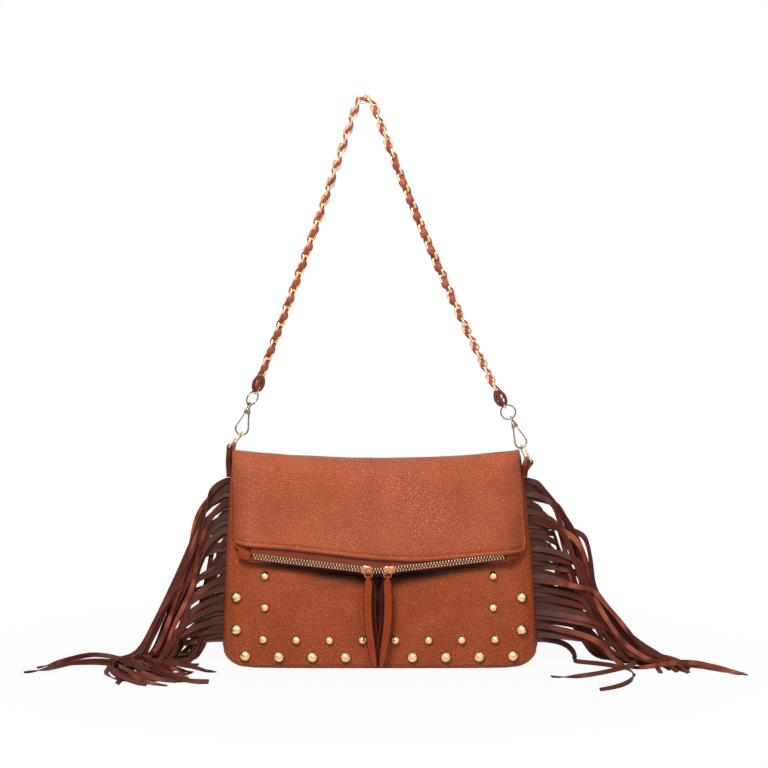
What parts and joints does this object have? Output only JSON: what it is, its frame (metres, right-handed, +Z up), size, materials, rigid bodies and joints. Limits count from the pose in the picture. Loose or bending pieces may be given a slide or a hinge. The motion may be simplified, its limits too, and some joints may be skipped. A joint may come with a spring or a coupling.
{
  "type": "fold-over shoulder bag",
  "caption": "Fold-over shoulder bag in grained leather with a zipped mouth, dome studs, long side fringe and a chain strap laced with leather.",
  "frame": {"origin": "top of the strap's arch, where the bag hangs from", "axes": "+Z up, -Y the studded front with the flap and zip, +X to the right of someone facing the front"},
  "size_m": [0.6691, 0.2045, 0.5686],
  "materials": {
    "tan_leather": "pebble grain, soft sheen",
    "painted_edge_leather": "folded strap with dark red painted edges",
    "fringe_leather": "thin cut strips",
    "lace_leather": "smooth",
    "zip_tape": "woven tape",
    "pale_gold": "polished pale gold plating",
    "rose_gold": "polished rose gold plating"
  },
  "bodies": {
    "strap": {"strap_chain": "pale_gold", "strap_lace": "lace_leather", "end_ring_left": "pale_gold", "end_ring_right": "pale_gold", "swivel_eye_left": "pale_gold", "swivel_eye_right": "pale_gold"},
    "bag": {"front_panel": "tan_leather", "back_panel": "tan_leather", "zip_tape_upper": "zip_tape", "zip_tape_lower": "zip_tape", "zip_teeth_upper": "pale_gold", "zip_teeth_lower": "pale_gold", "zip_end_left": "tan_leather", "zip_end_right": "tan_leather", "fringe_left": "fringe_leather", "fringe_right": "fringe_leather", "tab_left": "tan_leather", "tab_right": "tan_leather", "stud_lower_1": "pale_gold", "stud_lower_2": "pale_gold", "stud_lower_3": "pale_gold", "stud_lower_4": "pale_gold", "stud_lower_5": "pale_gold", "stud_lower_6": "pale_gold", "stud_lower_7": "pale_gold", "stud_lower_8": "pale_gold", "stud_lower_9": "pale_gold", "stud_upper_1": "pale_gold", "stud_upper_2": "pale_gold", "stud_upper_3": "pale_gold", "stud_upper_4": "pale_gold", "stud_upper_5": "pale_gold", "stud_upper_6": "pale_gold", "stud_upper_7": "pale_gold", "stud_upper_8": "pale_gold", "stud_outer_left_1": "pale_gold", "stud_outer_left_2": "pale_gold", "stud_outer_right_1": "pale_gold", "stud_outer_right_2": "pale_gold", "stud_inner_left_1": "pale_gold", "stud_inner_left_2": "pale_gold", "stud_inner_right_1": "pale_gold", "stud_inner_right_2": "pale_gold"},
    "hook_left": {"hook_left": "pale_gold"},
    "gate_left": {"gate_left": "pale_gold"},
    "d_ring_left": {"d_ring_left": "pale_gold"},
    "slider_left": {"slider_left": "rose_gold"},
    "pull_ring_left": {"pull_ring_left": "pale_gold"},
    "pull_left": {"pull_left": "painted_edge_leather"},
    "hook_right": {"hook_right": "pale_gold"},
    "gate_right": {"gate_right": "pale_gold"},
    "d_ring_right": {"d_ring_right": "pale_gold"},
    "slider_right": {"slider_right": "rose_gold"},
    "pull_ring_right": {"pull_ring_right": "pale_gold"},
    "pull_right": {"pull_right": "painted_edge_leather"}
  },
  "joints": [
    {"name": "bag_swing", "type": "hinge", "parent": "strap", "child": "bag", "pos_m": [0.0162, 0, -0.34], "axis": [0.9989, 0, -0.0467], "range_deg": [-25, 25]},
    {"name": "hook_swivel_left", "type": "hinge", "parent": "strap", "child": "hook_left", "pos_m": [-0.1228, 0, -0.3335], "axis": [0.3007, 0, 0.9537], "range_deg": [-38, 38]},
    {"name": "gate_left", "type": "hinge", "parent": "hook_left", "child": "gate_left", "pos_m": [-0.11901, 0, -0.31383], "axis": [0, -1, 0], "range_deg": [0, 20], "stiffness_Nm_per_rad": 0.02, "springref_deg": -11.46},
    {"name": "d_ring_left", "type": "hinge", "parent": "bag", "child": "d_ring_left", "pos_m": [-0.13222, 0, -0.34556], "axis": [0, 1, 0], "range_deg": [-4, 1]},
    {"name": "zip_left", "type": "slide", "parent": "bag", "child": "slider_left", "axis": [-0.9897, 0.1039, 0.099], "range_m": [0, 0.1075]},
    {"name": "pull_ring_left", "type": "hinge", "parent": "slider_left", "child": "pull_ring_left", "pos_m": [0.00334, -0.03429, -0.4631], "axis": [-0.9945, 0.1044, 0], "range_deg": [0, 80]},
    {"name": "pull_left", "type": "hinge", "parent": "pull_ring_left", "child": "pull_left", "pos_m": [0.00334, -0.03429, -0.4704], "axis": [-0.9945, 0.1044, 0], "range_deg": [-4, 75]},
    {"name": "hook_swivel_right", "type": "hinge", "parent": "strap", "child": "hook_right", "pos_m": [0.1552, 0, -0.3465], "axis": [-0.3584, 0, 0.9336], "range_deg": [-55, 15]},
    {"name": "gate_right", "type": "hinge", "parent": "hook_right", "child": "gate_right", "pos_m": [0.15002, 0.00097, -0.32717], "axis": [-0.3945, 0.9063, -0.1515], "range_deg": [0, 20], "stiffness_Nm_per_rad": 0.02, "springref_deg": -11.46},
    {"name": "d_ring_right", "type": "hinge", "parent": "bag", "child": "d_ring_right", "pos_m": [0.16142, 0, -0.36048], "axis": [0, 1, 0], "range_deg": [-1, 4]},
    {"name": "zip_right", "type": "slide", "parent": "bag", "child": "slider_right", "axis": [0.9897, 0.1039, 0.099], "range_m": [0, 0.1075]},
    {"name": "pull_ring_right", "type": "hinge", "parent": "slider_right", "child": "pull_ring_right", "pos_m": [0.02206, -0.03429, -0.4631], "axis": [-0.9945, -0.1044, 0], "range_deg": [0, 80]},
    {"name": "pull_right", "type": "hinge", "parent": "pull_ring_right", "child": "pull_right", "pos_m": [0.02206, -0.03429, -0.4704], "axis": [-0.9945, -0.1044, 0], "range_deg": [-4, 75]}
  ]
}
